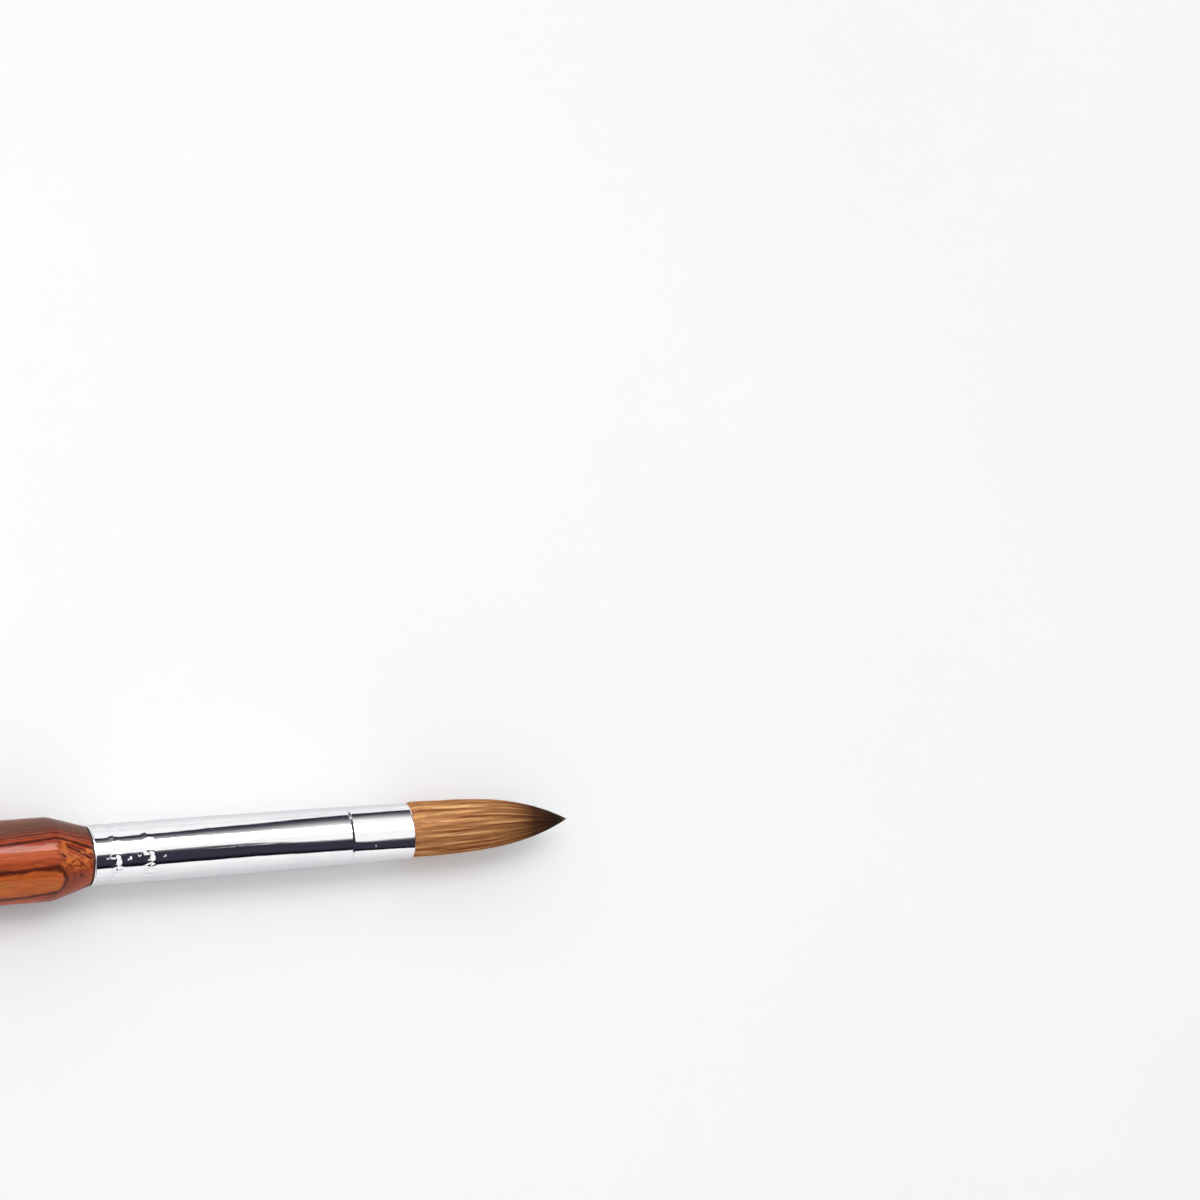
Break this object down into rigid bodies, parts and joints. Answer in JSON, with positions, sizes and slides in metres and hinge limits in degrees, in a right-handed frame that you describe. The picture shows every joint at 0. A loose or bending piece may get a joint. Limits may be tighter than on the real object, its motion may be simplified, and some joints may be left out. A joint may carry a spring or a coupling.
{
  "type": "acrylic nail brush",
  "caption": "Pointed oval sable brush for sculpting acrylic nails: hair tuft in a crimped, pinched metal ferrule on a slender turned wooden handle.",
  "frame": {"origin": "centre of the ferrule's mouth, the front rim that the hair leaves, on the axis of the brush", "axes": "+X along the axis towards the hair's tip, +Z square to one of the two flats pressed into the ferrule's front, +Y across the brush, along the width of the oval tuft"},
  "size_m": [0.1759, 0.0076, 0.0076],
  "materials": {
    "lacquered_wood": "clear gloss lacquer over red-brown hardwood with dark grain",
    "ferrule_metal": "mirror-bright plated tube",
    "hair": "fine straight golden-brown hair, darker towards the tip, soft sheen",
    "thread": "waxed linen thread",
    "resin": "cast amber epoxy resin",
    "glue": "cured dark brown adhesive"
  },
  "bodies": {
    "brush": {"handle": "lacquered_wood", "tenon_glue": "glue", "ferrule": "ferrule_metal", "resin_plug": "resin", "root_binding": "thread", "hair_roots": "hair"},
    "tuft": {"hair_tuft": "hair"}
  },
  "joints": [
    {"name": "tuft_flex", "type": "hinge", "parent": "brush", "child": "tuft", "pos_m": [0.0012, 0, 0], "axis": [0, 1, 0], "range_deg": [-30, 30], "stiffness_Nm_per_rad": 0.006}
  ]
}
